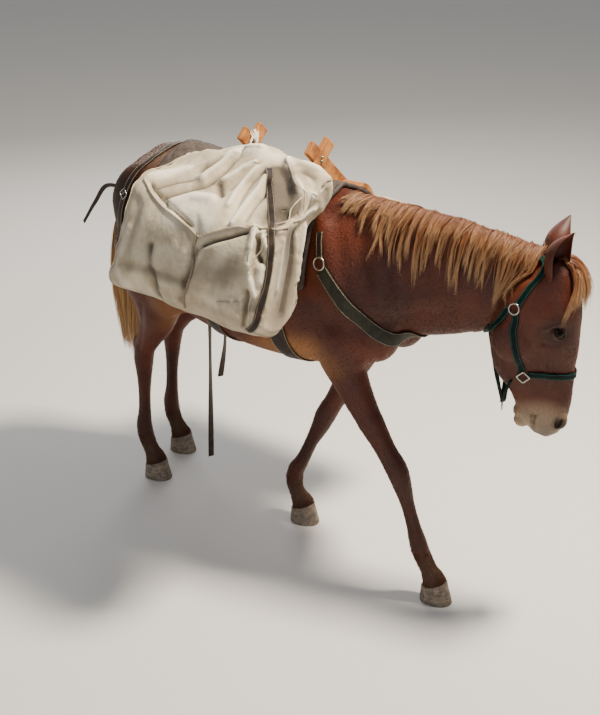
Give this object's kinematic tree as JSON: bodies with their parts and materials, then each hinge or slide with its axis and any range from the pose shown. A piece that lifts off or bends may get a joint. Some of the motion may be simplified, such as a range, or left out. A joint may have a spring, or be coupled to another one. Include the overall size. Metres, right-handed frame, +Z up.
{
  "type": "pack mule",
  "caption": "Life-size chestnut pack mule walking with its head low, carrying canvas panniers on a wooden pack saddle, with breast collar, breeching and webbing halter.",
  "frame": {"origin": "on the floor, under the middle of the whole model's box", "axes": "+X the way the animal faces and the longest extent, +Y to the animal's left, +Z up"},
  "size_m": [2.214, 1.1622, 1.612],
  "materials": {
    "coat": "short chestnut coat with a soft sheen, grey-cream on the muzzle",
    "hoof": "grey-brown horn, dusty",
    "eye": "wet dark eye",
    "hair": "long flaxen tail hair",
    "canvas": "weathered cream duck canvas with folds and piping",
    "felt": "dark wool felt",
    "wood": "worn orange-brown hardwood",
    "leather": "dark oiled harness leather, greenish where worn",
    "webbing": "teal-green woven webbing",
    "steel": "dull plated steel",
    "rope": "thin grey-brown rope"
  },
  "bodies": {
    "root": {"breast_collar": "leather", "breast_ring_far": "steel", "breast_ring_near": "steel", "breast_tug_far": "leather", "breast_tug_near": "leather", "breeching": "leather", "breeching_end": "leather", "cinch_front": "leather", "cinch_rear": "leather", "ear_far": "coat", "ear_near": "coat", "eye_far": "eye", "eye_near": "eye", "halter_cheek_far": "webbing", "halter_cheek_near": "webbing", "halter_chin_ring": "steel", "halter_chin_strap": "webbing", "halter_crown": "webbing", "halter_fitting_far": "steel", "halter_fitting_near": "steel", "halter_noseband": "webbing", "halter_ring_far": "steel", "halter_ring_near": "steel", "halter_throat": "webbing", "hanging_strap_long": "leather", "hanging_strap_short": "leather", "head": "coat", "hip_strap": "leather", "hoof_fore_far": "hoof", "hoof_fore_near": "hoof", "hoof_hind_far": "hoof", "hoof_hind_near": "hoof", "leg_fore_far": "coat", "leg_fore_near": "coat", "leg_hind_far": "coat", "leg_hind_near": "coat", "neck": "coat", "pannier_far": "canvas", "pannier_near": "canvas", "pannier_rope_far": "rope", "pannier_rope_near": "rope", "pannier_strap_far": "leather", "pannier_strap_near": "leather", "saddle_board_far": "wood", "saddle_board_near": "wood", "saddle_cross_front": "wood", "saddle_cross_rear": "wood", "saddle_pad": "felt", "tail": "hair", "torso": "coat"}
  },
  "joints": []
}
